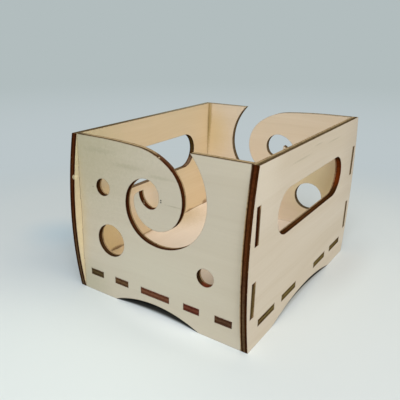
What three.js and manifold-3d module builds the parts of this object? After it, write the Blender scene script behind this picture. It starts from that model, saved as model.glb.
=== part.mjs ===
// Open-top yarn box of laser-cut plywood: four walls and a floor, joined by tabs in slots.
// Millimetres, +Z up. The box stands on z = 0 with its middle on the Z axis.
// The front faces -Y, and its swirl slot guides the yarn out of the box.
import * as THREE from 'three';
import { mergeVertices } from 'three/addons/utils/BufferGeometryUtils.js';
import Module from 'manifold-3d';

// Overall sizes, over the outer faces of the walls
const boxWidth = 120;
const boxDepth = 150;
const boxHeight = 100;
const plyThickness = 4;

// Free space round each tab in its slot, and at the shoulders beside it
const fitGap = 0.15;

// Floor: how far its underside stands above the table
const floorLift = 11;

// Tabs of the floor through the front and back walls: narrow ones at both sides of a wide one,
// and a margin from the corners of the box to the first of them
const swirlWallTabWidth = 10;
const swirlWallMiddleTabWidth = 20;
const swirlWallTabMargin = 10;

// Tabs of the floor through the side walls: a pair at each end
const sideWallTabWidth = 20;
const sideWallTabGap = 10;
const sideWallTabMargin = 10;

// Upright tabs of the front and back walls through the side walls: one above the other
const cornerTabHeight = 20;
const cornerTabMargin = 20;

// Side walls: how far the upright edges swell out at half height
const sideBow = 5;

// Hand hole of the side walls: a long slot with round ends
const handleLength = 100;
const handleHeight = 26;
const handleBelowRim = 20;

// Feet at both ends of a wall, and the wood between the arch and the underside of the floor
const swirlWallFootWidth = 30;
const sideWallFootWidth = 29;
const archBelowFloor = 4.5;

// Round holes of the front and back walls, placed from the middle and from the table
const needleHoleDiameter = 10.4;
const needleHoleUpperAcross = -37;
const needleHoleUpperHeight = 71;
const needleHoleLowerAcross = 33.3;
const needleHoleLowerHeight = 35;
const yarnHoleDiameter = 20.2;
const yarnHoleAcross = -32.3;
const yarnHoleHeight = 38.5;

// Outer edge of the swirl: arcs that run clockwise from the rim, nearly all tighter than the one
// before. The entry arc ends level with its centre, and each other arc turns by its own degrees
const swirlCentreAcross = -5.6;
const swirlCentreBelowRim = 26.6;
const swirlEntryRadius = 38.8;
const swirlRightRadius = 29.8;
const swirlRightTurn = 106;
const swirlLeftRadius = 21;
const swirlLeftTurn = 91;
const swirlTopRadius = 15.6;
const swirlTopTurn = 58;
const swirlEyeRadius = 9.3;
const swirlEyeTurn = 137;
const swirlEyeFloorRadius = 5.4;
const swirlEyeFloorTurn = 78;
const swirlEyeEndRadius = 8.7;
const swirlEyeEndTurn = 71;

// Tongue inside the swirl: a long shoulder brings it down from the rim, then it bends, curls in
// clockwise and leaves a channel that narrows towards the eye
const shoulderRadius = 350;
const shoulderDrop = 1.25;
const bendEndAngle = 51;
const crownRadius = 22.4;
const crownEndAngle = -30;
const tongueSag = 0.7;
const rightChannel = 14.9;
const lowerChannel = 9.7;
const leftChannel = 6.1;

// Largest distance between a true arc and the straight facets that stand for it
const arcTolerance = 0.01;

// How far a cutter stands out of both faces of the panel that it cuts
const cutterOverrun = 1;

const innerHalfWidth = boxWidth / 2 - plyThickness;
const innerHalfDepth = boxDepth / 2 - plyThickness;
const archRise = floorLift - archBelowFloor;
const degrees = THREE.MathUtils.degToRad;

const wasm = await Module();
wasm.setup();

// Points along an arc from one angle to another, clockwise where the angle falls
function arcPoints(x, y, radius, from, to) {
  const stepAngle = 2 * Math.acos(1 - arcTolerance / radius);
  const steps = 2 * Math.ceil(Math.abs(to - from) / stepAngle / 2);
  const clockwise = to < from;
  return new THREE.EllipseCurve(x, y, radius, radius, from, to, clockwise).getPoints(steps);
}

// Arcs that follow each other with a common tangent, each given as [radius, end angle]
function arcChain(x, y, startAngle, arcs) {
  const points = [];
  let angle = startAngle;
  let lastRadius = arcs[0][0];
  for (const [radius, endAngle] of arcs) {
    x += (lastRadius - radius) * Math.cos(angle);
    y += (lastRadius - radius) * Math.sin(angle);
    const arc = arcPoints(x, y, radius, angle, endAngle);
    points.push(...(points.length ? arc.slice(1) : arc));
    angle = endAngle;
    lastRadius = radius;
  }
  return points;
}

// Points of a shallow arc over a straight chord; it bulges to the left of its direction by the
// rise, or to the right where the rise is negative
function bulge(start, end, rise) {
  const chord = new THREE.Vector2().subVectors(end, start);
  const half = chord.length() / 2;
  const signedRadius = (half * half + rise * rise) / (2 * rise);
  const leftward = new THREE.Vector2(-chord.y, chord.x).normalize();
  const centre = new THREE.Vector2().addVectors(start, end).multiplyScalar(0.5)
    .addScaledVector(leftward, rise - signedRadius);
  const reach = Math.asin(half / signedRadius);
  const peak = leftward.multiplyScalar(Math.sign(rise)).angle();
  return arcPoints(centre.x, centre.y, Math.abs(signedRadius), peak + reach, peak - reach);
}

// Outlines of round, long and rectangular holes
function roundHole(across, height, diameter) {
  return new THREE.Shape(arcPoints(across, height, diameter / 2, 0, 2 * Math.PI).slice(0, -1));
}

function longHole(across, height, length, width) {
  const radius = width / 2;
  const reach = length / 2 - radius;
  return new THREE.Shape([
    ...arcPoints(across + reach, height, radius, -Math.PI / 2, Math.PI / 2),
    ...arcPoints(across - reach, height, radius, Math.PI / 2, 1.5 * Math.PI),
  ]);
}

function tabSlot(across, height, length, rise) {
  const x = length / 2 + fitGap;
  const y = rise / 2 + fitGap;
  return new THREE.Shape([
    new THREE.Vector2(across - x, height - y),
    new THREE.Vector2(across + x, height - y),
    new THREE.Vector2(across + x, height + y),
    new THREE.Vector2(across - x, height + y),
  ]);
}

// A row of tabs between two ends, with equal gaps: a list of {middle, width}
function tabRow(start, end, widths) {
  const tabLength = widths.reduce((total, width) => total + width, 0);
  const gap = (end - start - tabLength) / (widths.length - 1);
  let edge = start;
  return widths.map((width) => {
    const tab = { middle: edge + width / 2, width };
    edge += width + gap;
    return tab;
  });
}

const swirlWallTabEnd = boxWidth / 2 - swirlWallTabMargin;
const narrowPair = [swirlWallTabWidth, swirlWallTabWidth];
const swirlWallTabs = tabRow(-swirlWallTabEnd, swirlWallTabEnd, [
  ...narrowPair,
  swirlWallMiddleTabWidth,
  ...narrowPair,
]);

const sideWallTabEnd = boxDepth / 2 - sideWallTabMargin;
const sideWallPair = [sideWallTabWidth, sideWallTabWidth];
const sideWallPairStart = sideWallTabEnd - 2 * sideWallTabWidth - sideWallTabGap;
const sideWallTabs = [
  ...tabRow(-sideWallTabEnd, -sideWallPairStart, sideWallPair),
  ...tabRow(sideWallPairStart, sideWallTabEnd, sideWallPair),
];

const cornerPair = [cornerTabHeight, cornerTabHeight];
const cornerTabs = tabRow(cornerTabMargin, boxHeight - cornerTabMargin, cornerPair);

// Outline points of an edge with tabs, walked in the direction of the unit vector along
function tabbedEdge(tabs, along, outward, shoulder, tabReach) {
  const at = (distance, reach) => new THREE.Vector2()
    .addScaledVector(along, distance)
    .addScaledVector(outward, reach);
  const walk = along.x + along.y;
  const ordered = walk > 0 ? tabs : [...tabs].reverse();
  return ordered.flatMap(({ middle, width }) => {
    const centre = middle * walk;
    return [
      at(centre - width / 2, shoulder),
      at(centre - width / 2, tabReach),
      at(centre + width / 2, tabReach),
      at(centre + width / 2, shoulder),
    ];
  });
}

const right = new THREE.Vector2(1, 0);
const left = new THREE.Vector2(-1, 0);
const up = new THREE.Vector2(0, 1);
const down = new THREE.Vector2(0, -1);

// Slots of a wall for the floor's tabs
function floorSlots(tabs) {
  const height = floorLift + plyThickness / 2;
  return tabs.map(({ middle, width }) => tabSlot(middle, height, width, plyThickness));
}

// Outer edge of the swirl, from the rim at the right in to the tip of the tongue
function swirlOuterEdge() {
  const centreHeight = boxHeight - swirlCentreBelowRim;
  const entryAngle = Math.asin(swirlCentreBelowRim / swirlEntryRadius);
  let angle = 0;
  const turns = [
    [swirlRightRadius, swirlRightTurn],
    [swirlLeftRadius, swirlLeftTurn],
    [swirlTopRadius, swirlTopTurn],
    [swirlEyeRadius, swirlEyeTurn],
    [swirlEyeFloorRadius, swirlEyeFloorTurn],
    [swirlEyeEndRadius, swirlEyeEndTurn],
  ].map(([radius, turn]) => {
    angle -= degrees(turn);
    return [radius, angle];
  });
  return arcChain(swirlCentreAcross, centreHeight, entryAngle, [[swirlEntryRadius, 0], ...turns]);
}

// Outer edge of the tongue, from the rim at the left down to its upright left side. Its arcs follow
// from its crown and from the width of the channel at the right, under and at the left of it
function tongueEdge(outer) {
  const rightmost = Math.max(...outer.map(({ x }) => x)) - rightChannel;
  const lowest = Math.min(...outer.map(({ y }) => y)) + lowerChannel;
  const leftmost = Math.min(...outer.map(({ x }) => x)) + leftChannel;
  const bendEnd = degrees(bendEndAngle);
  const crownEnd = degrees(crownEndAngle);
  const crownAcross = rightmost - crownRadius;
  const crownHeight = boxHeight - swirlCentreBelowRim - tongueSag;
  const bendRadius = (boxHeight - shoulderDrop - crownHeight - crownRadius * Math.sin(bendEnd))
    / (1 - Math.sin(bendEnd));
  const bendAcross = crownAcross + (crownRadius - bendRadius) * Math.cos(bendEnd);
  const centreDistance = shoulderRadius - bendRadius;
  const shoulderRun = Math.sqrt(shoulderDrop * (2 * centreDistance - shoulderDrop));
  const lowerRadius = (crownHeight + crownRadius * Math.sin(crownEnd) - lowest)
    / (1 + Math.sin(crownEnd));
  const lowerAcross = crownAcross + (crownRadius - lowerRadius) * Math.cos(crownEnd);
  return arcChain(bendAcross - shoulderRun, boxHeight - shoulderRadius, degrees(90), [
    [shoulderRadius, Math.acos(shoulderRun / centreDistance)],
    [bendRadius, bendEnd],
    [crownRadius, crownEnd],
    [lowerRadius, degrees(-90)],
    [lowerAcross - leftmost, degrees(-180)],
  ]);
}

// Pointed tip of the tongue: one arc from the end of the eye down to the tongue's upright left edge
function tipPoints(eyeEnd, leftmost) {
  const across = eyeEnd.x - leftmost.x;
  const rise = eyeEnd.y - leftmost.y;
  const radius = (across * across + rise * rise) / (2 * across);
  const endAngle = Math.PI - Math.asin(rise / radius);
  return arcPoints(leftmost.x + radius, leftmost.y, radius, endAngle, Math.PI).slice(1, -1);
}

// Front and back wall, seen from outside
function swirlWallOutline() {
  const shoulder = innerHalfWidth - fitGap;
  const tabReach = boxWidth / 2;
  const archEnd = boxWidth / 2 - swirlWallFootWidth;
  const outer = swirlOuterEdge();
  const tongue = tongueEdge(outer);
  return new THREE.Shape([
    new THREE.Vector2(-shoulder, 0),
    ...bulge(new THREE.Vector2(-archEnd, 0), new THREE.Vector2(archEnd, 0), archRise),
    new THREE.Vector2(shoulder, 0),
    ...tabbedEdge(cornerTabs, up, right, shoulder, tabReach),
    new THREE.Vector2(shoulder, boxHeight),
    ...outer,
    ...tipPoints(outer.at(-1), tongue.at(-1)),
    ...tongue.reverse(),
    new THREE.Vector2(-shoulder, boxHeight),
    ...tabbedEdge(cornerTabs, down, left, shoulder, tabReach),
  ]);
}

function swirlWallHoles() {
  return [
    ...floorSlots(swirlWallTabs),
    roundHole(needleHoleUpperAcross, needleHoleUpperHeight, needleHoleDiameter),
    roundHole(needleHoleLowerAcross, needleHoleLowerHeight, needleHoleDiameter),
    roundHole(yarnHoleAcross, yarnHoleHeight, yarnHoleDiameter),
  ];
}

// Side wall, seen from outside: bowed upright edges and an arch between the feet
function sideWallOutline() {
  const edge = boxDepth / 2;
  const archEnd = edge - sideWallFootWidth;
  return new THREE.Shape([
    ...bulge(new THREE.Vector2(-archEnd, 0), new THREE.Vector2(archEnd, 0), archRise),
    ...bulge(new THREE.Vector2(edge, 0), new THREE.Vector2(edge, boxHeight), -sideBow),
    ...bulge(new THREE.Vector2(-edge, boxHeight), new THREE.Vector2(-edge, 0), -sideBow),
  ]);
}

// Hand hole of a side wall, with the slots for the floor and for the walls beside it
function sideWallHoles() {
  const handleMiddle = boxHeight - handleBelowRim - handleHeight / 2;
  const cornerSlotMiddle = boxDepth / 2 - plyThickness / 2;
  return [
    ...floorSlots(sideWallTabs),
    ...cornerTabs.flatMap(({ middle, width }) => [
      tabSlot(cornerSlotMiddle, middle, plyThickness, width),
      tabSlot(-cornerSlotMiddle, middle, plyThickness, width),
    ]),
    longHole(0, handleMiddle, handleLength, handleHeight),
  ];
}

// Floor, seen from above: tabs on all four edges reach the walls' outer faces
function floorOutline() {
  const shoulderX = innerHalfWidth - fitGap;
  const shoulderY = innerHalfDepth - fitGap;
  return new THREE.Shape([
    new THREE.Vector2(-shoulderX, -shoulderY),
    ...tabbedEdge(swirlWallTabs, right, down, shoulderY, boxDepth / 2),
    new THREE.Vector2(shoulderX, -shoulderY),
    ...tabbedEdge(sideWallTabs, up, right, shoulderX, boxWidth / 2),
    new THREE.Vector2(shoulderX, shoulderY),
    ...tabbedEdge(swirlWallTabs, left, up, shoulderY, boxDepth / 2),
    new THREE.Vector2(-shoulderX, shoulderY),
    ...tabbedEdge(sideWallTabs, down, left, shoulderX, boxWidth / 2),
  ]);
}

// A closed mesh as a solid that can be cut, and back again
function toSolid(geometry) {
  const bare = geometry.deleteAttribute('normal').deleteAttribute('uv');
  const merged = mergeVertices(bare);
  return new wasm.Manifold(new wasm.Mesh({
    numProp: 3,
    vertProperties: merged.attributes.position.array,
    triVerts: Uint32Array.from(merged.index.array),
  }));
}

function toGeometry(solid) {
  const { vertProperties, triVerts } = solid.getMesh();
  const indexed = new THREE.BufferGeometry()
    .setAttribute('position', new THREE.BufferAttribute(vertProperties, 3))
    .setIndex(new THREE.BufferAttribute(triVerts, 1));
  const geometry = indexed.toNonIndexed();
  geometry.computeVertexNormals();
  return geometry;
}

// A slice of the given depth under an outline, lying on z = 0 or starting at another height
function slab(outline, depth, start = 0) {
  return new THREE.ExtrudeGeometry(outline, { depth, bevelEnabled: false }).translate(0, 0, start);
}

// One flat panel of the ply, with every hole cut right through it
function panel(name, outline, holes, colour) {
  let solid = toSolid(slab(outline, plyThickness));
  for (const hole of holes) {
    solid = solid.subtract(toSolid(slab(hole, plyThickness + 2 * cutterOverrun, -cutterOverrun)));
  }
  const material = new THREE.MeshStandardMaterial({ color: colour, roughness: 0.62, metalness: 0 });
  const mesh = new THREE.Mesh(toGeometry(solid), material);
  mesh.name = name;
  return mesh;
}

// Stands a panel upright with its outside faced away from the middle, then turns it to its side
function standWall(mesh, outerReach, quarterTurns) {
  mesh.rotation.x = Math.PI / 2;
  mesh.position.y = plyThickness - outerReach;
  const side = new THREE.Group();
  side.rotation.z = quarterTurns * Math.PI / 2;
  side.add(mesh);
  return side;
}

const frontWall = panel('front_wall', swirlWallOutline(), swirlWallHoles(), 0xcabd9d);
const backWall = panel('back_wall', swirlWallOutline(), swirlWallHoles(), 0xd2bd95);
const rightWall = panel('right_side_wall', sideWallOutline(), sideWallHoles(), 0xd3c3a1);
const leftWall = panel('left_side_wall', sideWallOutline(), sideWallHoles(), 0xd1b98c);
const floor = panel('floor', floorOutline(), [], 0xd6c6a4);
floor.position.z = floorLift;

const box = new THREE.Group();
box.add(
  standWall(frontWall, boxDepth / 2, 0),
  standWall(rightWall, boxWidth / 2, 1),
  standWall(backWall, boxDepth / 2, 2),
  standWall(leftWall, boxWidth / 2, 3),
  floor,
);

export default box;
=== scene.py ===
import math
from collections import namedtuple
from itertools import product

import bmesh
import bpy
import numpy as np
from mathutils import Matrix, Vector
from mathutils.bvhtree import BVHTree
from mathutils.geometry import delaunay_2d_cdt


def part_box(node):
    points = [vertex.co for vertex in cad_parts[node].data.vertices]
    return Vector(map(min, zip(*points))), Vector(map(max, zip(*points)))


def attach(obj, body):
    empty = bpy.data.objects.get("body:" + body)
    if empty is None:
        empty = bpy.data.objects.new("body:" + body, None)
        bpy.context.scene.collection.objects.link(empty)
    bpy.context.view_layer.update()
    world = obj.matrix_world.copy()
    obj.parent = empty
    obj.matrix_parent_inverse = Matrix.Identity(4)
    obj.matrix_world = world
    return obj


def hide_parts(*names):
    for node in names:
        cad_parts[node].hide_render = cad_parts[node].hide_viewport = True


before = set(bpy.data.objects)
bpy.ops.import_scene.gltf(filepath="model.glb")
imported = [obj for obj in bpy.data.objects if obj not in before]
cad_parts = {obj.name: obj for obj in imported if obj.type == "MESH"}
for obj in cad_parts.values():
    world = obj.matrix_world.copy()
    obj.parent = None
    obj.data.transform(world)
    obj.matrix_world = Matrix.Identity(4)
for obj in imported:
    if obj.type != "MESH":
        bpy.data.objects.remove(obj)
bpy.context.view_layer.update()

# An open-top box of five plywood panels, cut by laser and joined by tabs in slots

MM = 0.001
X, Y, Z = 0, 1, 2

# Sizes from the frame, in millimetres


def box_mm(node):
    """The lowest and the highest corner of a CAD node."""
    return [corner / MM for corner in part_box(node)]


FRONT = box_mm("front_wall")[0].y
INNER_BACK, BACK = (corner.y for corner in box_mm("back_wall"))
LEFT, INNER_LEFT = (corner.x for corner in box_mm("left_side_wall"))
INNER_RIGHT, RIGHT = (corner.x for corner in box_mm("right_side_wall"))
RIM = box_mm("front_wall")[1].z
UNDERSIDE, INNER_FLOOR = (corner.z for corner in box_mm("floor"))

PLY = round(INNER_FLOOR - UNDERSIDE, 3)
FRONT_MIDDLE, BACK_MIDDLE = FRONT + PLY / 2, BACK - PLY / 2
LEFT_MIDDLE, RIGHT_MIDDLE = LEFT + PLY / 2, RIGHT - PLY / 2
FLOOR_MIDDLE = UNDERSIDE + PLY / 2
LOWER_TAB, UPPER_TAB = 0.3 * RIM, 0.7 * RIM
HAND_HOLE_FOOT = 0.54 * RIM
HAND_HOLE_END = BACK * 2 / 3

# Fine shape of the panels, in metres

ARRIS = 0.06 * MM
SCORCH_REACH = 0.4 * MM

# rings of points beside a cut, which carry the fading scorch: how far in each lies, how far apart
# its points are, and how much of its own distance it keeps from any other cut
RING_WIDTHS = (0.15 * MM, 0.4 * MM)
RING_SPACING = 1.2 * MM
RING_CLEARANCE = 0.95

# what counts as one point, one level, one facet and a sharp edge
WELD = 0.001 * MM
FLAT_WITHIN = 0.005 * MM
SAME_FACET = math.radians(0.3)
SHARP_ANGLE = math.radians(35)

# Helpers for node trees


def fill_inputs(tree, node, inputs):
    """Link each input of a node to a socket, or set it to a plain value."""
    for name, value in inputs.items():
        if isinstance(value, bpy.types.NodeSocket):
            tree.links.new(value, node.inputs[name])
        else:
            node.inputs[name].default_value = value


def add(tree, kind, inputs=None, **settings):
    """A node with its settings made and its inputs filled."""
    node = tree.nodes.new("ShaderNode" + kind)
    for name, value in settings.items():
        setattr(node, name, value)
    fill_inputs(tree, node, inputs or {})
    return node


def maths(tree, operation, *values):
    """The result of one sum on plain values or on sockets."""
    return add(tree, "Math", dict(enumerate(values)), operation=operation).outputs[0]


def vector_maths(tree, operation, *values):
    """The result of one sum on vectors: a vector, or a number where a length is asked for."""
    made = add(tree, "VectorMath", dict(enumerate(values)), operation=operation)
    return made.outputs["Value" if operation == "LENGTH" else "Vector"]


def along_axis(tree, vector, axis):
    """One of the three numbers of a vector."""
    return add(tree, "SeparateXYZ", {0: vector}).outputs[axis]


def gap(tree, first, second):
    """How far apart two numbers are."""
    return maths(tree, "ABSOLUTE", maths(tree, "SUBTRACT", first, second))


def swing(tree, value, width):
    """Noise as a swing about zero, width from end to end."""
    return maths(tree, "MULTIPLY", maths(tree, "SUBTRACT", value, 0.5), width)


def remap(tree, value, low, high, to_low=0.0, to_high=1.0, smooth=True):
    """The value spread from one range to another, and kept within it."""
    return add(tree, "MapRange", {
        "Value": value, "From Min": low, "From Max": high, "To Min": to_low, "To Max": to_high,
    }, interpolation_type="SMOOTHSTEP" if smooth else "LINEAR").outputs["Result"]


# Places of the colour sockets on a Mix node
MIX_FACTOR, MIX_FIRST, MIX_SECOND, MIX_RESULT = 0, 6, 7, 2


def blend_colour(tree, factor, first, second):
    """The first colour where the factor is 0, the second where it is 1."""
    made = add(tree, "Mix", {MIX_FACTOR: factor, MIX_FIRST: first, MIX_SECOND: second}, data_type="RGBA")
    return made.outputs[MIX_RESULT]


def noise(tree, vector, scale=1.0, detail=2.0, roughness=0.5):
    """Noise between 0 and 1, mostly near one half."""
    return add(tree, "TexNoise", {"Vector": vector, "Scale": scale, "Detail": detail,
                                  "Roughness": roughness}).outputs["Fac"]


def stretch(tree, vector, along, across, through):
    """The vector with each of its three lengths multiplied."""
    return vector_maths(tree, "MULTIPLY", vector, (along, across, through))


def away_in_reaches(tree, place, centre, reach):
    """How far the place is from the centre, where 1 is as far as the reach on each axis."""
    away = vector_maths(tree, "SUBTRACT", place, centre)
    return vector_maths(tree, "LENGTH", vector_maths(tree, "DIVIDE", away, reach))


def attribute(tree, name):
    """The outputs of a node that reads one of the panel's own attributes."""
    return add(tree, "Attribute", attribute_name=name).outputs


def object_place(tree):
    """The place on the object in millimetres."""
    return vector_maths(tree, "DIVIDE", add(tree, "TexCoord").outputs["Object"], (MM, MM, MM))


def new_group(name, inputs, outputs):
    """A node group with typed sockets, the sockets it is given, and the node for its results."""
    tree = bpy.data.node_groups.new(name, "ShaderNodeTree")
    for label, kind in inputs:
        tree.interface.new_socket(label, in_out="INPUT", socket_type="NodeSocket" + kind)
    for label, kind in outputs:
        tree.interface.new_socket(label, in_out="OUTPUT", socket_type="NodeSocket" + kind)
    return tree, tree.nodes.new("NodeGroupInput").outputs, tree.nodes.new("NodeGroupOutput")


def use_group(tree, group, inputs):
    """The outputs of a node group that is placed in a material with its own values."""
    return add(tree, "Group", inputs, node_tree=group).outputs


def new_material(name):
    """An empty material and its node tree."""
    material = bpy.data.materials.new(name)
    material.use_nodes = True
    material.node_tree.nodes.clear()
    return material, material.node_tree


def srgb(red, green, blue):
    """A colour from its 0 to 255 values on screen."""
    def linear(value):
        value /= 255
        return value / 12.92 if value <= 0.04045 else ((value + 0.055) / 1.055) ** 2.4
    return (linear(red), linear(green), linear(blue), 1.0)


# Tones of the face veneer, light and dark

OUTSIDE = (srgb(218, 205, 187), srgb(203, 187, 163))
FRONT_OUTSIDE = (srgb(211, 199, 177), srgb(198, 184, 160))
INSIDE = (srgb(234, 217, 193), srgb(218, 198, 168))
GOLDEN_INSIDE = (srgb(227, 209, 179), srgb(212, 190, 150))
FLOOR_INSIDE = (srgb(236, 222, 206), srgb(224, 207, 186))
SCORCHED = srgb(112, 70, 38)

# Tones of the burnt edge

OUTER_PLIES = (srgb(54, 23, 5), srgb(76, 41, 14))
CORE_PLY = (srgb(74, 32, 12), srgb(92, 50, 24))
LOW_CORE = srgb(102, 80, 56)
GLUE = srgb(36, 13, 3)
CHAR_LINE = srgb(34, 13, 3)
HOLE_CHAR = srgb(56, 36, 12)
# painted top light and sheen: tones, light and dark, of the edge that looks up near the rim
TOP_LIT_TONES = (srgb(110, 94, 66), srgb(82, 68, 44))
TOASTED = srgb(200, 168, 124)
# the toasted strip on the rim, painted paler as painted top light
TOP_LIT_TOASTED = srgb(184, 160, 122)
CHIPPED = srgb(196, 170, 128)
HARDLY_BURNT = srgb(132, 116, 86)
SOOT = srgb(40, 19, 8)

# Tones of the marks

# painted shade in the inner corner where the left side wall meets the back wall
PAINTED_CORNER_SHADE = srgb(176, 152, 98)
# painted shadow along the joint of the left side wall with the floor
PAINTED_JOINT_SHADOW = srgb(122, 86, 46)
# painted light, golden, where the front wall shades the left side wall
PAINTED_GOLDEN_LIGHT = srgb(246, 230, 186)
CHIP = srgb(224, 206, 164)
STREAK = srgb(158, 146, 116)
BAND = srgb(166, 158, 128)
DOT = srgb(60, 48, 32)

# Camera: its place in millimetres, its turns in degrees and its lens

CAMERA_PLACE = Vector((147.62, -264.11, 157.58)) * MM
CAMERA_HEADING = math.radians(36.785)
CAMERA_TILT = math.radians(70.297)
CAMERA_ROLL = math.radians(-0.217)
SENSOR_WIDTH = 36
LENS = 43.03
LENS_SHIFT = (0.0927, -0.0026)


def make_camera():
    """The camera at the photograph's viewing angle."""
    data = bpy.data.cameras.new("camera")
    data.sensor_width = SENSOR_WIDTH
    data.lens = LENS
    data.shift_x, data.shift_y = LENS_SHIFT
    camera = bpy.data.objects.new("camera", data)
    bpy.context.scene.collection.objects.link(camera)
    camera.matrix_world = (
        Matrix.Translation(CAMERA_PLACE)
        @ Matrix.Rotation(CAMERA_HEADING, 4, "Z")
        @ Matrix.Rotation(CAMERA_TILT, 4, "X")
        @ Matrix.Rotation(CAMERA_ROLL, 4, "Z")
    )
    bpy.context.scene.camera = camera


make_camera()

# Shared effects of the wood

# Every panel carries its place in the sheet of ply as an attribute, in millimetres: along the
# grain, across it, and down through the sheet from the outer face. Noise is stretched by waves per
# millimetre in the same three directions.

# The burnt edge in millimetres: where the core fades out and where the glue lies, from the middle
# of the sheet, how wide the glue is, how much wider the toasted strip is painted on the rim as
# painted top light, how far below the rim the painted top light and sheen reach, and the height
# below which the core turns greyer
CORE_FADE = (0.55, 0.95)
GLUE_LINE = 0.85
GLUE_FADE = (0.05, 0.22)
TOP_LIT_STRIP_WIDENING = 1.1
TOP_LIT_DEPTH = 8.0
GREYER_BELOW = 60.0


def make_veneer_group():
    """Grain of the pale face veneer: tone from 0, light, to 1, dark, and height of the fibres."""
    tree, given, results = new_group(
        "veneer_grain", [("Sheet", "Vector")], [("Tone", "Float"), ("Height", "Float")])
    sheet = given["Sheet"]
    # slow waves, up to 5 mm to either side, that bend the grain lines
    sway = swing(tree, noise(tree, stretch(tree, sheet, 0.012, 0.02, 0), detail=1), 10.0)
    grain = vector_maths(tree, "ADD", sheet, add(tree, "CombineXYZ", {"Y": sway}).outputs[0])
    broad = noise(tree, stretch(tree, grain, 0.006, 0.09, 0), detail=3, roughness=0.55)
    rings = noise(tree, stretch(tree, grain, 0.010, 0.75, 0), detail=3, roughness=0.6)
    fibres = noise(tree, stretch(tree, grain, 0.06, 5.0, 0), detail=3, roughness=0.65)
    pores = remap(tree, noise(tree, stretch(tree, grain, 0.35, 8.0, 0), detail=1), 0.66, 0.78)
    # how much each of them darkens the veneer
    tone = 0.0
    for layer, share in ((broad, 0.55), (rings, 0.30), (fibres, 0.18), (pores, 0.10)):
        tone = maths(tree, "MULTIPLY_ADD", layer, share, tone)
    # fibres stand up and pores sink in
    height = maths(tree, "MULTIPLY_ADD", fibres, 0.7, maths(tree, "MULTIPLY", pores, -0.5))
    fill_inputs(tree, results, {"Tone": tone, "Height": height})
    return tree


def make_spot_group():
    """How much a place lies in an egg-shaped spot: 1 inside, 0 outside, with a soft ragged border."""
    tree, given, results = new_group(
        "ragged_spot", [("Place", "Vector"), ("Centre", "Vector"), ("Reach", "Vector"), ("Soft", "Float")],
        [("Share", "Float")])
    away = away_in_reaches(tree, given["Place"], given["Centre"], given["Reach"])
    ragged = noise(tree, given["Place"], scale=0.9, detail=3, roughness=0.6)
    away = maths(tree, "ADD", away, swing(tree, ragged, 0.7))
    inner = maths(tree, "SUBTRACT", 1.0, given["Soft"])
    fill_inputs(tree, results, {"Share": remap(tree, away, inner, 1.0, 1.0, 0.0)})
    return tree


def find_plies(tree, sheet):
    """The depth in a sheet of uneven plies, and where the core and the two glue lines are, 0 or 1."""
    wander = noise(tree, stretch(tree, sheet, 0.12, 0.12, 0.2), detail=2)
    depth = maths(tree, "ADD", along_axis(tree, sheet, Z), swing(tree, wander, 0.5))
    from_middle = gap(tree, depth, PLY / 2)
    core = remap(tree, from_middle, *CORE_FADE, 1.0, 0.0)
    glue = remap(tree, gap(tree, from_middle, GLUE_LINE), *GLUE_FADE, 1.0, 0.0)
    return depth, core, glue


def make_soot(tree, sheet, core, glue):
    """Soot from 0 to 1, in coarse patches and on the glue, and less on the core."""
    coarse = noise(tree, stretch(tree, sheet, 0.55, 0.55, 0.9), detail=3, roughness=0.6)
    patches = remap(tree, coarse, 0.48, 0.66)
    soot = maths(tree, "MULTIPLY_ADD", patches, 0.6, maths(tree, "MULTIPLY", glue, 0.6))
    soot = maths(tree, "MULTIPLY_ADD", core, -0.4, maths(tree, "ADD", soot, 0.4))
    return maths(tree, "MINIMUM", soot, 1.0)


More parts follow.
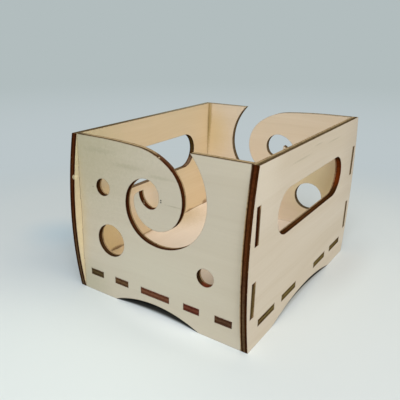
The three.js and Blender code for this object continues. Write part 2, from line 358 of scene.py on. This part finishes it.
def make_burnt_group():
    """Burnt cut edge: colour of the three plies and the glue between them, with rough char.

    Toasted is how many millimetres beside the inner face are only toasted. Hole is 1 inside the
    openings, where the char is browner, Low is 1 near the feet, where the core is greyer, and Rim
    is 1 on the faces on top of the walls that are painted paler, as painted top light and sheen."""
    tree, given, results = new_group(
        "burnt_edge",
        [("Sheet", "Vector"), ("Toasted", "Float"), ("Hole", "Float"), ("Low", "Float"), ("Rim", "Float")],
        [("Color", "Color"), ("Height", "Float"), ("Soot", "Float")])
    sheet = given["Sheet"]
    depth, core, glue = find_plies(tree, sheet)
    # lighter and darker patches, and fine lines of char across the edge
    patches = noise(tree, stretch(tree, sheet, 0.07, 0.07, 0.1), detail=3)
    lines = noise(tree, stretch(tree, sheet, 4.5, 4.5, 0.35), detail=3, roughness=0.6)
    colour = blend_colour(tree, remap(tree, patches, 0.35, 0.65), *OUTER_PLIES)
    core_colour = blend_colour(tree, remap(tree, patches, 0.3, 0.7), *CORE_PLY)
    core_colour = blend_colour(tree, given["Low"], core_colour, LOW_CORE)
    colour = blend_colour(tree, core, colour, core_colour)
    colour = blend_colour(tree, maths(tree, "MULTIPLY", glue, 0.7), colour, GLUE)
    colour = blend_colour(tree, remap(tree, lines, 0.35, 0.75, 0.0, 0.45), colour, CHAR_LINE)
    colour = blend_colour(tree, maths(tree, "MULTIPLY", given["Hole"], 0.6), colour, HOLE_CHAR)
    # painted top light and sheen: the rim is painted grey brown, darker in the glue and the lines
    darker_on_lit_rim = maths(tree, "MAXIMUM", glue, remap(tree, lines, 0.4, 0.7))
    colour = blend_colour(tree, given["Rim"], colour, blend_colour(tree, darker_on_lit_rim, *TOP_LIT_TONES))
    # the strip beside the inner face is hardly burnt; on the rim it is painted wider and paler, as
    # painted top light
    toasted = maths(tree, "MULTIPLY_ADD", given["Rim"], TOP_LIT_STRIP_WIDENING, given["Toasted"])
    from_border = maths(tree, "SUBTRACT", depth, maths(tree, "SUBTRACT", PLY, toasted))
    toasted_colour = blend_colour(tree, given["Rim"], TOASTED, TOP_LIT_TOASTED)
    colour = blend_colour(tree, remap(tree, from_border, -0.18, 0.18), colour, toasted_colour)
    # here and there a sliver of the outer veneer has chipped off
    chipped = remap(tree, noise(tree, stretch(tree, sheet, 0.8, 0.8, 0.8), detail=2), 0.64, 0.70)
    chipped = maths(tree, "MULTIPLY", chipped, remap(tree, depth, 0.45, 0.25))
    colour = blend_colour(tree, chipped, colour, CHIPPED)
    height = maths(tree, "MULTIPLY_ADD", glue, -0.5, lines)
    soot = make_soot(tree, sheet, core, glue)
    fill_inputs(tree, results, {"Color": colour, "Height": height, "Soot": soot})
    return tree


veneer_grain = make_veneer_group()
burnt_edge = make_burnt_group()
ragged_spot = make_spot_group()

# Materials of the panels

# A panel: its CAD node and a material slot name, which is not used; the axes of its grain, width
# and thickness; its outer face on the last axis and where in the sheet it was cut, in millimetres;
# the tones of its two faces; the width beside the inner face that is only toasted, below 0 for
# none, and how burnt the rest of the edge is; and the marks on its faces and on its cut edges
Panel = namedtuple("Panel", "node slot axes outer shift outside inside toasted char marks cut_marks")

# A mark in the wood: its centre and reach in millimetres, its colour, its strength, and how much
# of its reach is soft border
Mark = namedtuple("Mark", "centre reach colour strength soft")


def add_marks(tree, colour, marks):
    """The colour with each mark laid over it."""
    place = object_place(tree)
    for mark in marks:
        share = use_group(tree, ragged_spot, {"Place": place, "Centre": mark.centre,
                                              "Reach": mark.reach, "Soft": mark.soft})["Share"]
        colour = blend_colour(tree, maths(tree, "MULTIPLY", share, mark.strength), colour, mark.colour)
    return colour


def make_veneer(panel):
    """Face veneer of one panel, with a brown breath of scorch beside its cuts."""
    material, tree = new_material(panel.node + "_veneer")
    sheet = attribute(tree, "sheet")["Vector"]
    grain = use_group(tree, veneer_grain, {"Sheet": sheet})
    on_inner_face = maths(tree, "GREATER_THAN", along_axis(tree, sheet, Z), PLY / 2)
    light, dark = (blend_colour(tree, on_inner_face, *tones) for tones in zip(panel.outside, panel.inside))
    colour = blend_colour(tree, remap(tree, grain["Tone"], 0.3, 0.8, smooth=False), light, dark)
    colour = add_marks(tree, colour, panel.marks)
    # the scorch is uneven, in small flecks
    flecks = noise(tree, stretch(tree, sheet, 1.1, 1.1, 0), detail=3, roughness=0.65)
    unevenness = maths(tree, "MULTIPLY_ADD", remap(tree, flecks, 0.5, 0.66), 0.4, 0.5)
    scorch = maths(tree, "MULTIPLY", attribute(tree, "scorch")["Fac"], unevenness)
    bump = add(tree, "Bump", {"Height": grain["Height"], "Strength": 0.25, "Distance": 0.05 * MM})
    shader = add(tree, "BsdfPrincipled", {
        "Base Color": blend_colour(tree, scorch, colour, SCORCHED),
        "Roughness": remap(tree, grain["Tone"], 0.2, 0.9, 0.52, 0.68),
        "Normal": bump.outputs[0],
    })
    add(tree, "OutputMaterial", {"Surface": shader.outputs[0]})
    return material


def make_cut(panel):
    """Laser-charred cut edge of one panel, with painted top light and sheen where it faces up at the rim."""
    material, tree = new_material(panel.node + "_cut_edge")
    height = along_axis(tree, object_place(tree), Z)
    upward = along_axis(tree, add(tree, "NewGeometry").outputs["Normal"], Z)
    # painted top light and sheen: only what looks up near the rim is painted paler
    near_rim = remap(tree, height, RIM - TOP_LIT_DEPTH, RIM)
    rim = maths(tree, "MULTIPLY", remap(tree, upward, 0.5, 0.9), near_rim)
    burnt = use_group(tree, burnt_edge, {
        "Sheet": attribute(tree, "sheet")["Vector"],
        "Toasted": panel.toasted,
        "Hole": attribute(tree, "hole")["Fac"],
        "Low": remap(tree, height, GREYER_BELOW, INNER_FLOOR),
        "Rim": rim,
    })
    colour = blend_colour(tree, panel.char, HARDLY_BURNT, burnt["Color"])
    colour = add_marks(tree, colour, panel.cut_marks)
    bump = add(tree, "Bump", {"Height": burnt["Height"], "Strength": 0.6, "Distance": 0.08 * MM})
    shader = add(tree, "BsdfPrincipled", {
        "Base Color": blend_colour(tree, maths(tree, "MULTIPLY", burnt["Soot"], 0.6), colour, SOOT),
        "Roughness": remap(tree, burnt["Soot"], 0.0, 1.0, 0.6, 0.9),
        "Specular IOR Level": 0.0,
        "Normal": bump.outputs[0],
    })
    add(tree, "OutputMaterial", {"Surface": shader.outputs[0]})
    return material


# Shape of the panels


def lies_at(face, through, level):
    """Whether a face lies flat at a level on one axis."""
    return all(abs(corner.co[through] - level) < FLAT_WITHIN for corner in face.verts)


def tree_of(faces):
    """The faces as a tree for finding the nearest point on them."""
    corners = list(dict.fromkeys(corner for face in faces for corner in face.verts))
    number = {corner: i for i, corner in enumerate(corners)}
    outlines = [[number[corner] for corner in face.verts] for face in faces]
    return BVHTree.FromPolygons([corner.co for corner in corners], outlines)


def lie_inside(points, edges):
    """For each point whether it lies inside the outline, an odd number of edges to its right."""
    (start_x, start_y), (end_x, end_y) = edges[:, 0].T, edges[:, 1].T
    x, y = points[:, :1], points[:, 1:]
    is_crossed = (start_y > y) != (end_y > y)
    slope = (end_x - start_x) / np.where(end_y == start_y, 1, end_y - start_y)
    return (is_crossed & (x < start_x + (y - start_y) * slope)).sum(axis=1) % 2 == 1


def corners_in_holes(faces, along):
    """The corners of all cut faces but those of the outer contour, which reaches farthest."""
    left = set(faces)
    loops = []
    while left:
        wave = [left.pop()]
        loop = set()
        while wave:
            face = wave.pop()
            loop.update(face.verts)
            near = {other for edge in face.edges for other in edge.link_faces} & left
            left -= near
            wave.extend(near)
        loops.append(loop)

    def length(loop):
        places = [corner.co[along] for corner in loop]
        return max(places) - min(places)

    loops.sort(key=length)
    return {corner for loop in loops[:-1] for corner in loop}


def round_arrises(shape, faces, through, side):
    """Round the edges of one flat face of a panel, as two narrow flats."""
    # how far from each side the middle of the rounding lies, as a share of its radius
    bend = 1 - math.sqrt(0.5)
    steps = ((bend * ARRIS, ARRIS), ((1 - bend) * ARRIS, bend * ARRIS))
    for width, drop in steps:
        ring = bmesh.ops.inset_region(shape, faces=faces, thickness=width,
                                      use_even_offset=True, use_boundary=True)["faces"]
        inner = {corner for face in faces for corner in face.verts}
        for corner in {corner for face in ring for corner in face.verts} - inner:
            corner.co[through] -= side * drop


def ring_places(outline, flat_faces, cuts, through):
    """Points in rings beside the outline of a flat face, but none too near another cut."""
    normal = Vector([axis == through for axis in (X, Y, Z)])
    inwards = {corner: Vector() for edge in outline for corner in edge.verts}
    rings = []
    for edge in outline:
        start, end = (corner.co for corner in edge.verts)
        arris = next(face for face in edge.link_faces if face not in flat_faces)
        inward = (end - start).cross(normal).normalized()
        if inward.dot(arris.calc_center_median() - start) > 0:
            inward.negate()
        for corner in edge.verts:
            inwards[corner] += inward
        count = max(1, round((end - start).length / RING_SPACING))
        for width, step in product(RING_WIDTHS, range(count)):
            rings.append((start.lerp(end, (step + 0.5) / count) + inward * width, width))
    for width, (corner, inward) in product(RING_WIDTHS, inwards.items()):
        rings.append((corner.co + inward.normalized() * width, width))
    return [place for place, width in rings
            if cuts.find_nearest(place)[3] > RING_CLEARANCE * (width + ARRIS)]


# for the triangles of a flat face: only those within its outline are wanted, and points nearer than
# this many millimetres are one
WITHIN_OUTLINE = 1
SAME_POINT = 1e-5


def fill_face(shape, old_faces, cuts, axes):
    """Fill one flat face of a panel again, with rings of points that carry the fading scorch."""
    along, across, through = axes
    flat_faces = set(old_faces)
    outline = [edge for edge in shape.edges if sum(face in flat_faces for face in edge.link_faces) == 1]
    corners = list(dict.fromkeys(corner for edge in outline for corner in edge.verts))
    number = {corner: i for i, corner in enumerate(corners)}
    edges = [[number[corner] for corner in edge.verts] for edge in outline]
    places = [corner.co.copy() for corner in corners]
    places += ring_places(outline, flat_faces, cuts, through)
    flat = [Vector((place[along], place[across])) / MM for place in places]
    bmesh.ops.delete(shape, geom=old_faces, context="FACES_KEEP_BOUNDARY")
    points, _, triangles, sources, _, _ = delaunay_2d_cdt(flat, edges, [], WITHIN_OUTLINE, SAME_POINT, True)
    made = []
    for point, source in zip(points, sources):
        if source and source[0] < len(corners):
            made.append(corners[source[0]])
            continue
        place = places[0].copy()
        place[along], place[across] = point.x * MM, point.y * MM
        made.append(shape.verts.new(place))
    middles = np.array([sum((points[i] for i in triangle), Vector((0, 0))) / 3 for triangle in triangles])
    ends = np.array([[flat[i] for i in edge] for edge in edges])
    for triangle, is_wanted in zip(triangles, lie_inside(middles, ends)):
        if is_wanted:
            shape.faces.new([made[i] for i in triangle])


def ease_panel(shape, axes):
    """Round the arrises of both flat faces and fill them again; returns the cut faces as a tree."""
    through = axes[2]
    levels = [pick(corner.co[through] for corner in shape.verts) for pick in (min, max)]
    flats = [[face for face in shape.faces if lies_at(face, through, level)] for level in levels]
    cut_faces = [face for face in shape.faces if face not in flats[0] and face not in flats[1]]
    cuts = tree_of(cut_faces)
    diagonals = [edge for edge in shape.edges if all(face in cut_faces for face in edge.link_faces)]
    bmesh.ops.dissolve_limit(shape, angle_limit=SAME_FACET, verts=[], edges=diagonals)
    for side, faces in zip((-1, 1), flats):
        round_arrises(shape, faces, through, side)
        fill_face(shape, faces, cuts, axes)
    bmesh.ops.recalc_face_normals(shape, faces=shape.faces)
    return cuts


def store(mesh, name, kind, values):
    """Keep one value for each corner of the mesh as an attribute."""
    field = "vector" if kind == "FLOAT_VECTOR" else "value"
    mesh.attributes.new(name, kind, "POINT").data.foreach_set(field, np.ravel(values))


def store_wood(mesh, panel, cuts, in_holes):
    """What the materials read: the place in the sheet, the scorch beside cuts, and the holes."""
    along, across, through = panel.axes
    sheet = []
    scorch = []
    for corner in mesh.vertices:
        place = corner.co / MM
        depth = abs(place[through] - panel.outer)
        sheet.append((place[along] + panel.shift[0], place[across] + panel.shift[1], depth))
        distance = cuts.find_nearest(corner.co)[3]
        scorch.append(max(0.0, 1 - distance / SCORCH_REACH) ** 2)
    store(mesh, "sheet", "FLOAT_VECTOR", sheet)
    store(mesh, "scorch", "FLOAT", scorch)
    store(mesh, "hole", "FLOAT", [float(corner.index in in_holes) for corner in mesh.vertices])


def make_panel(panel):
    """One panel, a copy of its CAD node with rounded arrises, in veneer and burnt edges."""
    node = panel.node
    along, _, through = panel.axes
    shape = bmesh.new()
    shape.from_mesh(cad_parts[node].data)
    bmesh.ops.remove_doubles(shape, verts=shape.verts, dist=WELD)
    cuts = ease_panel(shape, panel.axes)
    cut_faces = [face for face in shape.faces if abs(face.normal[through]) < 0.1]
    for face in shape.faces:
        face.smooth = True
    for face in cut_faces:
        face.material_index = 1
    shape.verts.index_update()
    in_holes = {corner.index for corner in corners_in_holes(cut_faces, along)}
    mesh = bpy.data.meshes.new(node + "_panel")
    shape.to_mesh(mesh)
    shape.free()
    store_wood(mesh, panel, cuts, in_holes)
    mesh.materials.append(make_veneer(panel))
    mesh.materials.append(make_cut(panel))
    mesh.set_sharp_from_angle(angle=SHARP_ANGLE)
    piece = bpy.data.objects.new(node + "_panel", mesh)
    bpy.context.scene.collection.objects.link(piece)
    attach(piece, "root")
    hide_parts(node)


# Marks of the front wall


def front_marks():
    return [
        # darker and yellower towards the upper left corner, paler low down, greyer at the swirl
        Mark((LEFT, FRONT, RIM), (85, 6, 70), srgb(178, 168, 134), 0.75, 1.0),
        Mark((0, FRONT, 26), (62, 6, 34), srgb(211, 205, 184), 0.4, 1.0),
        Mark((14, FRONT, 75), (56, 6, 45), srgb(194, 184, 164), 0.4, 1.0),
        # painted shade: the left foot darker and greener towards the ground; and a golden left edge
        Mark((-52, FRONT, 6), (24, 6, 20), srgb(184, 178, 148), 0.6, 1.0),
        Mark((LEFT, FRONT, 50), (12, 6, 46), srgb(204, 184, 140), 0.6, 1.0),
        # a faint dark band that falls from the left rim to the tongue
        Mark((-40, FRONT, RIM - 7.5), (18, 6, 2.4), BAND, 0.4, 0.9),
        Mark((-18, FRONT, RIM - 13.5), (16, 6, 2.2), BAND, 0.4, 0.9),
        Mark((5, FRONT, RIM - 16), (12, 6, 1.6), BAND, 0.35, 0.9),
        # two small dots on the tongue, a streak beside them, and a speck left of the upper hole
        Mark((4.8, FRONT, RIM - 28.2), (0.6, 1, 0.5), DOT, 1.0, 0.4),
        Mark((4.8, FRONT, RIM - 29.3), (0.6, 1, 0.5), DOT, 1.0, 0.4),
        Mark((13, FRONT, RIM - 30), (8, 1, 0.5), STREAK, 0.5, 0.9),
        Mark((-45, FRONT, RIM - 30), (0.5, 1, 0.5), srgb(110, 95, 70), 0.7, 0.6),
    ]


def front_cut_marks():
    return [
        # the swirl's mouth is browner near the inner face
        Mark((9, FRONT + 3.2, RIM - 6), (13, 2.2, 7), srgb(84, 54, 38), 0.85, 0.4),
        # chips in the mouth's edge and in the tip of the tongue
        Mark((3.2, FRONT + 1.0, RIM - 5.0), (0.7, 1.0, 0.9), CHIP, 0.8, 0.4),
        Mark((-8.6, FRONT + 1.0, 70.0), (0.6, 0.6, 0.7), CHIP, 0.5, 0.4),
        Mark((-7.9, FRONT_MIDDLE, 68.4), (0.7, 0.5, 0.5), CHIP, 0.5, 0.4),
        Mark((-7.3, FRONT + 1.0, 67.4), (0.6, 0.5, 0.5), CHIP, 0.5, 0.4),
        # the reddish bottom of the lower small hole
        Mark((33.3, FRONT_MIDDLE, 29.8), (5, 3, 1.8), srgb(136, 58, 36), 0.7, 0.6),
        # the tab ends in the right side wall
        Mark((RIGHT, FRONT_MIDDLE, LOWER_TAB), (3, 4, 12), srgb(100, 86, 50), 0.65, 0.5),
        Mark((RIGHT, FRONT_MIDDLE, UPPER_TAB), (3, 4, 14), srgb(46, 20, 8), 0.7, 0.5),
    ]


# Marks of the side walls


def right_marks():
    return [
        # darker towards the back, paler at the upper front corner
        Mark((RIGHT, 85, 80), (2, 45, 60), srgb(190, 176, 158), 0.6, 1.0),
        Mark((RIGHT, FRONT + 5, RIM - 5), (2, 30, 40), srgb(226, 214, 196), 0.6, 1.0),
        # thin streaks below the rim
        Mark((RIGHT, -24, RIM - 8), (2, 20, 0.9), STREAK, 0.35, 0.9),
        Mark((RIGHT, 0, RIM - 4.5), (2, 9, 0.7), STREAK, 0.35, 0.9),
        Mark((RIGHT, 28, RIM - 7), (2, 16, 0.8), STREAK, 0.35, 0.9),
    ]


def right_cut_marks():
    return [
        # the top of the front edge is darker near the inner face
        Mark((INNER_RIGHT, FRONT - 2, RIM - 3), (1.8, 5, 12), srgb(52, 24, 10), 0.85, 0.5),
        # the far end of the hand hole, reddish, with a pale inner border
        Mark((RIGHT_MIDDLE, HAND_HOLE_END, 68), (5, 7, 17), srgb(120, 50, 14), 0.75, 0.6),
        Mark((INNER_RIGHT, 44, 67), (1.3, 14, 17), srgb(196, 156, 116), 0.8, 0.4),
        # its lower edge, pale near the inner face and brown near the outer
        Mark((INNER_RIGHT, 0, HAND_HOLE_FOOT), (1.2, 60, 4), srgb(184, 156, 118), 0.8, 0.4),
        Mark((RIGHT - 1.5, -5, HAND_HOLE_FOOT), (1.2, 46, 4), srgb(92, 56, 28), 0.6, 0.8),
    ]


def left_marks():
    return [
        # greener at the upper front corner, and painted shade in the corner with the back wall
        Mark((INNER_LEFT, FRONT, RIM - 6), (2, 55, 50), srgb(206, 196, 158), 0.8, 1.0),
        Mark((INNER_LEFT, INNER_BACK, 82), (2, 2.4, 34), PAINTED_CORNER_SHADE, 0.8, 0.8),
        # painted light: golden low at the front, where the front wall casts its shade; then paler and
        # greyer patches
        Mark((INNER_LEFT, -58, 34), (2, 40, 48), PAINTED_GOLDEN_LIGHT, 0.8, 1.0),
        Mark((INNER_LEFT, -16, 42), (2, 26, 17), srgb(238, 226, 212), 0.7, 1.0),
        Mark((INNER_LEFT, 4, 41), (2, 15, 15), srgb(206, 199, 186), 0.65, 1.0),
        Mark((INNER_LEFT, -54, 66), (2, 9, 9), srgb(218, 210, 190), 0.6, 1.0),
        # the chip on the front edge
        Mark((INNER_LEFT, FRONT - 3, 74.5), (2, 1.6, 1.4), srgb(236, 224, 184), 0.9, 0.4),
        # painted shadow along the joint with the floor, wider in three places
        Mark((INNER_LEFT, 0, INNER_FLOOR), (2, 90, 1.3), PAINTED_JOINT_SHADOW, 0.4, 0.7),
        Mark((INNER_LEFT, -46, INNER_FLOOR), (2, 9, 2.6), PAINTED_JOINT_SHADOW, 0.7, 0.6),
        Mark((INNER_LEFT, 45, INNER_FLOOR), (2, 7, 2.4), PAINTED_JOINT_SHADOW, 0.6, 0.6),
        Mark((INNER_LEFT, 68, INNER_FLOOR + 1), (2, 5, 3.2), PAINTED_JOINT_SHADOW, 0.7, 0.7),
    ]


def left_cut_marks():
    return [
        # the chip on the front edge
        Mark((INNER_LEFT, FRONT - 4, 74.5), (2.2, 2, 1.8), CHIP, 0.95, 0.35),
        # the lower edge of the hand hole and its far end
        Mark((LEFT_MIDDLE, -8, HAND_HOLE_FOOT), (5, 46, 2.6), srgb(140, 118, 92), 0.75, 0.5),
        Mark((LEFT_MIDDLE, 28, HAND_HOLE_FOOT), (5, 12, 3), srgb(138, 116, 84), 0.75, 0.5),
        Mark((LEFT_MIDDLE, 44, HAND_HOLE_FOOT + 3), (5, 9, 6), srgb(136, 108, 84), 0.7, 0.5),
        Mark((LEFT_MIDDLE, HAND_HOLE_END, 72), (5, 8, 13), srgb(92, 74, 38), 0.6, 0.6),
        # painted top light and sheen: the rim is painted paler towards the back
        Mark((LEFT_MIDDLE, INNER_BACK, RIM), (5, 130, 4), srgb(176, 166, 138), 0.75, 1.0),
    ]


# Marks of the back wall and the floor


def back_marks():
    return [
        # warmer towards the left joint, and painted shade in the corner there
        Mark((INNER_LEFT + 4, INNER_BACK, 76), (21, 2, 30), srgb(216, 190, 128), 0.55, 0.9),
        Mark((INNER_LEFT, INNER_BACK, 82), (2.6, 2, 34), PAINTED_CORNER_SHADE, 0.7, 0.8),
        Mark((INNER_LEFT, INNER_BACK, RIM - 6), (3.6, 2, 26), PAINTED_CORNER_SHADE, 0.75, 0.4),
        # golden low on the right
        Mark((40, INNER_BACK, 48), (36, 2, 34), srgb(240, 226, 180), 0.7, 0.8),
    ]


def back_cut_marks():
    """A rim painted paler, as painted top light and sheen."""
    return [Mark((-10, BACK_MIDDLE, RIM), (90, 5, 3), srgb(180, 170, 144), 0.55, 0.6)]


def floor_marks():
    return [
        # golden at the front left, darker beside the left wall, and at the back left painted shade warmed
        # by light off the left wall; and painted shadow along the left joint
        Mark((INNER_LEFT, -52, INNER_FLOOR), (36, 40, 2), srgb(220, 198, 148), 0.6, 1.0),
        Mark((INNER_LEFT, -12, INNER_FLOOR), (4, 16, 2), srgb(176, 148, 102), 0.5, 1.0),
        Mark((INNER_LEFT, -43, INNER_FLOOR), (1.6, 8, 2), PAINTED_JOINT_SHADOW, 0.5, 0.8),
        Mark((INNER_LEFT, 32, INNER_FLOOR), (32, 40, 2), srgb(186, 166, 128), 0.75, 1.0),
    ]


def floor_cut_marks():
    """The tab ends in the front wall, each in its own tone, and those in the right side wall."""
    tabs = (
        (-45, 9, srgb(90, 76, 48), 0.7),
        (-25, 9, srgb(112, 82, 56), 0.7),
        (0, 15, srgb(126, 78, 58), 0.75),
        (25, 9, srgb(116, 58, 46), 0.75),
        (46, 9, srgb(94, 64, 48), 0.7),
    )
    marks = [Mark((across, FRONT, FLOOR_MIDDLE), (reach, 6, 6), colour, strength, 0.4)
             for across, reach, colour, strength in tabs]
    return marks + [Mark((RIGHT, 0, FLOOR_MIDDLE), (6, 80, 6), srgb(126, 112, 68), 0.65, 0.4)]


# The five panels

PANELS = (
    Panel(
        node="front_wall", slot="front_wall_ply", axes=(X, Z, Y), outer=FRONT, shift=(0, 0),
        outside=FRONT_OUTSIDE, inside=INSIDE, toasted=1.1, char=1.0,
        marks=front_marks(), cut_marks=front_cut_marks(),
    ),
    Panel(
        node="back_wall", slot="back_wall_ply", axes=(X, Z, Y), outer=BACK, shift=(410, 130),
        outside=OUTSIDE, inside=INSIDE, toasted=0.5, char=0.4,
        marks=back_marks(), cut_marks=back_cut_marks(),
    ),
    Panel(
        node="right_side_wall", slot="right_wall_ply", axes=(Y, Z, X), outer=RIGHT, shift=(730, -210),
        outside=OUTSIDE, inside=INSIDE, toasted=0.45, char=1.0,
        marks=right_marks(), cut_marks=right_cut_marks(),
    ),
    Panel(
        node="left_side_wall", slot="left_wall_ply", axes=(Y, Z, X), outer=LEFT, shift=(-350, 350),
        outside=OUTSIDE, inside=GOLDEN_INSIDE, toasted=-1.0, char=1.0,
        marks=left_marks(), cut_marks=left_cut_marks(),
    ),
    Panel(
        node="floor", slot="floor_ply", axes=(Y, X, Z), outer=UNDERSIDE, shift=(-820, -430),
        outside=OUTSIDE, inside=FLOOR_INSIDE, toasted=0.0, char=1.0,
        marks=floor_marks(), cut_marks=floor_cut_marks(),
    ),
)

for panel in PANELS:
    make_panel(panel)

# The ground the box stands on

GROUND = srgb(212, 218, 218)
HAZE_NEAR = srgb(188, 198, 201)
HAZE_FAR = srgb(178, 189, 190)
UNDER_BOX = srgb(34, 32, 10)

# how far from the middle of the box, in millimetres, the ground passes into the haze, and the haze
# from its near to its far tone
GROUND_FADE = (160, 340)
HAZE_FADE = (350, 1300)

# half the side of the ground in metres
GROUND_SIZE = 6.0

# Oval pools of painted light and painted shadow on the ground: centre and reach in millimetres,
# the tone, and how much of the reach has the full tone
Pool = namedtuple("Pool", "centre reach tone core")
PAINTED_LIGHT_AND_SHADOW_POOLS = (
    # painted light: a broad soft pool in front of the box
    Pool((-10, -190, 0), (160, 160, 1), srgb(223, 230, 228), 0.3),
    # painted light along the foot of the front wall
    Pool((15, -75, 0), (62, 22, 1), srgb(243, 248, 246), 0.0),
    # painted shadow to the right of the box, towards the back
    Pool((68, 50, 0), (22, 75, 1), srgb(200, 204, 204), 0.0),
    # painted shadow, bluish, to the left of the box
    Pool((-132, -26, 0), (48, 40, 1), srgb(194, 208, 214), 0.0),
)

# An arch: half its span, and how far behind the wall the shade sets in and is full where the arch
# is highest, in millimetres
Arch = namedtuple("Arch", "half_span shade_starts shade_full")
SIDE_ARCH = Arch(46, 2.7, 3.3)
FRONT_ARCH = Arch(30, 1.2, 4.2)


def shade_behind_arch(tree, arch, wall, out, along):
    """The shade behind a wall, from 0 to 1, with the light that its arch lets through."""
    share = maths(tree, "DIVIDE", along, arch.half_span)
    height = maths(tree, "SUBTRACT", 1.0, maths(tree, "MULTIPLY", share, share))
    behind = maths(tree, "SUBTRACT", wall, out)
    behind = maths(tree, "DIVIDE", behind, maths(tree, "MAXIMUM", height, 0.05))
    return remap(tree, behind, arch.shade_starts, arch.shade_full)


def make_ground_material():
    """Pale ground with soft pools of painted light and painted shadow, and painted shade under the box, lost
    in haze far out.
    """
    material, tree = new_material("pale_ground")
    place = object_place(tree)
    colour = GROUND
    for pool in PAINTED_LIGHT_AND_SHADOW_POOLS:
        away = away_in_reaches(tree, place, pool.centre, pool.reach)
        colour = blend_colour(tree, remap(tree, away, 1.0, pool.core), colour, pool.tone)
    # deep shade under the box, but for the light that comes in through the arches
    out = vector_maths(tree, "ABSOLUTE", place)
    out_x, out_y = along_axis(tree, out, X), along_axis(tree, out, Y)
    shade = maths(tree, "MULTIPLY",
                  shade_behind_arch(tree, SIDE_ARCH, RIGHT, out_x, out_y),
                  shade_behind_arch(tree, FRONT_ARCH, BACK, out_y, out_x))
    colour = blend_colour(tree, maths(tree, "MULTIPLY", shade, 0.9), colour, UNDER_BOX)
    shader = add(tree, "BsdfPrincipled", {"Base Color": colour, "Roughness": 0.7, "Specular IOR Level": 0.2})
    # farther out the ground passes into the plain tone of the background
    reach = vector_maths(tree, "LENGTH", place)
    haze = blend_colour(tree, remap(tree, reach, *HAZE_FADE), HAZE_NEAR, HAZE_FAR)
    glow = add(tree, "Emission", {"Color": haze, "Strength": 1.0})
    seen = add(tree, "LightPath").outputs["Is Camera Ray"]
    share = maths(tree, "MULTIPLY", remap(tree, reach, *GROUND_FADE), seen)
    mixed = add(tree, "MixShader", {0: share, 1: shader.outputs[0], 2: glow.outputs[0]})
    add(tree, "OutputMaterial", {"Surface": mixed.outputs[0]})
    return material


def make_ground():
    """A flat square ground under the box."""
    shape = bmesh.new()
    bmesh.ops.create_grid(shape, x_segments=8, y_segments=8, size=GROUND_SIZE)
    mesh = bpy.data.meshes.new("ground")
    shape.to_mesh(mesh)
    shape.free()
    mesh.materials.append(make_ground_material())
    ground = bpy.data.objects.new("ground", mesh)
    bpy.context.scene.collection.objects.link(ground)


make_ground()

# Light

# a pale sky, which the camera sees as the far haze
SKY = (0.9, 0.97, 1.0, 1.0)
SKY_LEVEL = 0.36

# A soft lamp: its place in metres, its colour, and its level, where 1 lights a white surface that
# faces the lamp up to white
Lamp = namedtuple("Lamp", "name place level colour")
LAMPS = (
    Lamp("front_lamp", (0.418, -0.724, 1.046), 0.715, (0.90, 0.94, 1.0)),
    Lamp("right_lamp", (0.836, 0, 1.046), 0.355, (1.0, 0.84, 0.62)),
)
LAMP_SIZE = 0.8
LAMP_AIM = Vector((0, 0, 0.05))


def make_world():
    """The pale sky round the box."""
    world = bpy.data.worlds.new("studio")
    bpy.context.scene.world = world
    world.use_nodes = True
    tree = world.node_tree
    tree.nodes.clear()
    sky = add(tree, "Background", {"Color": SKY, "Strength": SKY_LEVEL})
    haze = add(tree, "Background", {"Color": HAZE_FAR, "Strength": 1.0})
    seen = add(tree, "LightPath").outputs["Is Camera Ray"]
    mixed = add(tree, "MixShader", {0: seen, 1: sky.outputs[0], 2: haze.outputs[0]})
    add(tree, "OutputWorld", {"Surface": mixed.outputs[0]})


def make_lamp(lamp):
    """A soft square lamp that faces the middle of the box."""
    reach = LAMP_AIM - Vector(lamp.place)
    data = bpy.data.lights.new(lamp.name, "AREA")
    data.shape = "SQUARE"
    data.size = LAMP_SIZE
    data.energy = lamp.level * math.pi ** 2 * reach.length_squared
    data.color = lamp.colour
    light = bpy.data.objects.new(lamp.name, data)
    bpy.context.scene.collection.objects.link(light)
    light.location = lamp.place
    light.rotation_mode = "QUATERNION"
    light.rotation_quaternion = reach.to_track_quat("-Z", "Y")


make_world()
for lamp in LAMPS:
    make_lamp(lamp)

bpy.context.scene.view_settings.view_transform = "Standard"
